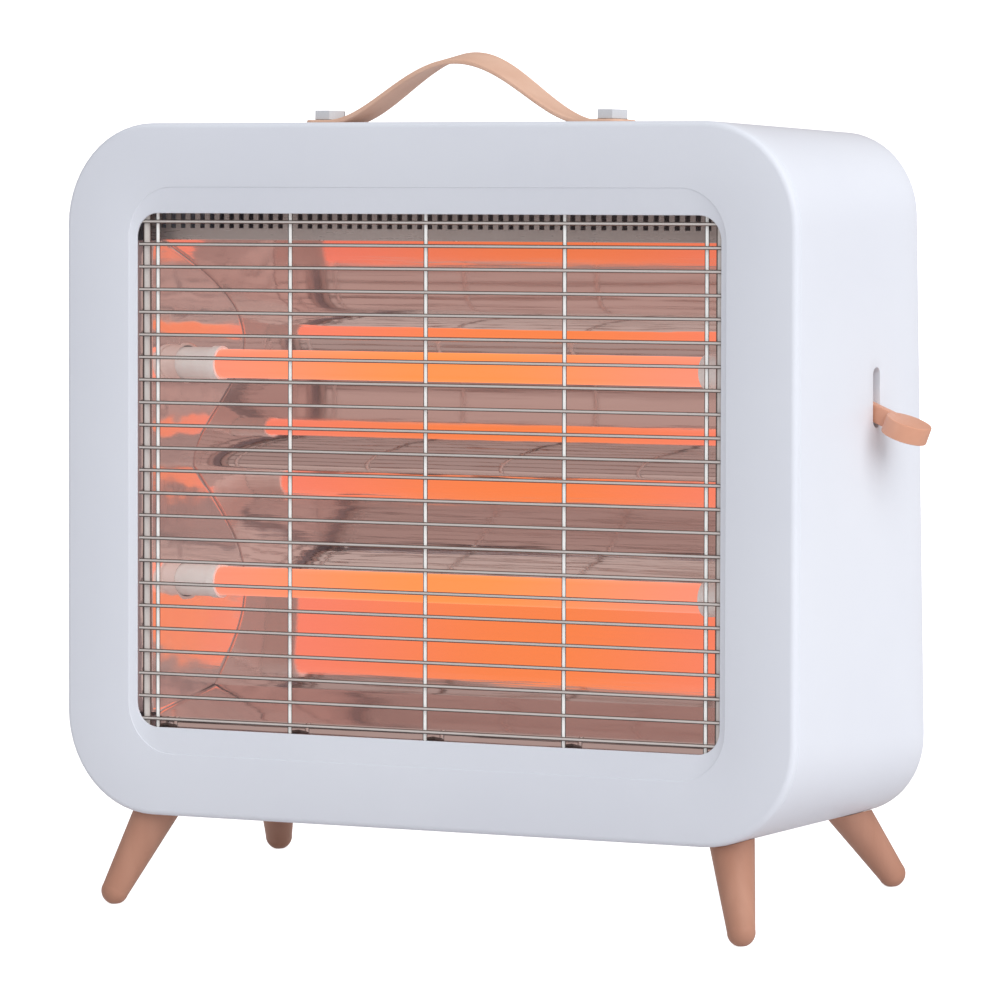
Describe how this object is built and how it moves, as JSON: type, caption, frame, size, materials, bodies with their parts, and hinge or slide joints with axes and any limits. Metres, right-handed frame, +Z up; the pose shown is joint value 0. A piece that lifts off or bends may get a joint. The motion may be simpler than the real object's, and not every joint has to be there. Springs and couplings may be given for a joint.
{
  "type": "electric bar heater",
  "caption": "Free-standing quartz bar heater: rounded white housing leaning back on splayed wooden legs, wire guard over a trough reflector, carrying strap and side power lever.",
  "frame": {"origin": "middle of the outline seen from above, on the floor that the feet stand on", "axes": "+Z up, +X along the width to the side of the power lever, +Y from the front to the back"},
  "size_m": [0.4056, 0.1574, 0.3777],
  "materials": {
    "housing_white": "smooth satin white",
    "guard_chrome": "bright",
    "vent_metal": "satin",
    "reflector_mirror": "polished, slightly rippled",
    "quartz": "clear, glowing from inside",
    "winding_alloy": "glowing",
    "ceramic": "unglazed ceramic",
    "plated_steel": "zinc plated",
    "zinc_steel": "zinc plated",
    "bolt_chrome": "bright",
    "strap_leather": "smooth tan",
    "lever_tan": "satin tan",
    "leg_wood": "satin lacquer",
    "dark_moulding": "satin dark grey",
    "lead_sleeve": "silicone sleeve"
  },
  "bodies": {
    "housing": {"front_bezel": "housing_white", "shell": "housing_white", "rear_cover": "housing_white", "cover_screws": "zinc_steel", "bezel_screws": "zinc_steel", "wire_guard": "guard_chrome", "guard_posts": "guard_chrome", "vent_strip": "vent_metal", "reflector": "reflector_mirror", "end_plate_left": "reflector_mirror", "end_plate_right": "reflector_mirror", "quartz_tube_upper": "quartz", "quartz_tube_lower": "quartz", "winding_upper": "winding_alloy", "winding_lower": "winding_alloy", "cap_upper_left": "ceramic", "cap_upper_right": "ceramic", "cap_lower_left": "ceramic", "cap_lower_right": "ceramic", "tube_bracket_left": "plated_steel", "tube_bracket_right": "plated_steel", "heat_shield": "plated_steel", "shield_screws": "zinc_steel", "switch_bracket": "plated_steel", "switch_body": "dark_moulding", "thermal_cutout": "dark_moulding", "tilt_switch": "dark_moulding", "terminal_block": "ceramic", "internal_leads": "lead_sleeve", "cord_gland": "dark_moulding", "gland_nut": "dark_moulding", "carry_strap": "strap_leather", "strap_bolts": "bolt_chrome", "strap_washers": "zinc_steel", "strap_nuts": "zinc_steel", "leg_front_left": "leg_wood", "leg_front_right": "leg_wood", "leg_rear_left": "leg_wood", "leg_rear_right": "leg_wood", "leg_sockets": "dark_moulding", "leg_studs": "zinc_steel", "leg_nuts": "zinc_steel"},
    "lever": {"power_lever": "lever_tan", "lever_shaft": "zinc_steel", "shaft_clip": "zinc_steel"}
  },
  "joints": [
    {"name": "lever_pivot", "type": "hinge", "parent": "housing", "child": "lever", "pos_m": [0.15664, 0.02782, 0.22405], "axis": [0, -0.9942, 0.108], "range_deg": [0, 44]}
  ]
}
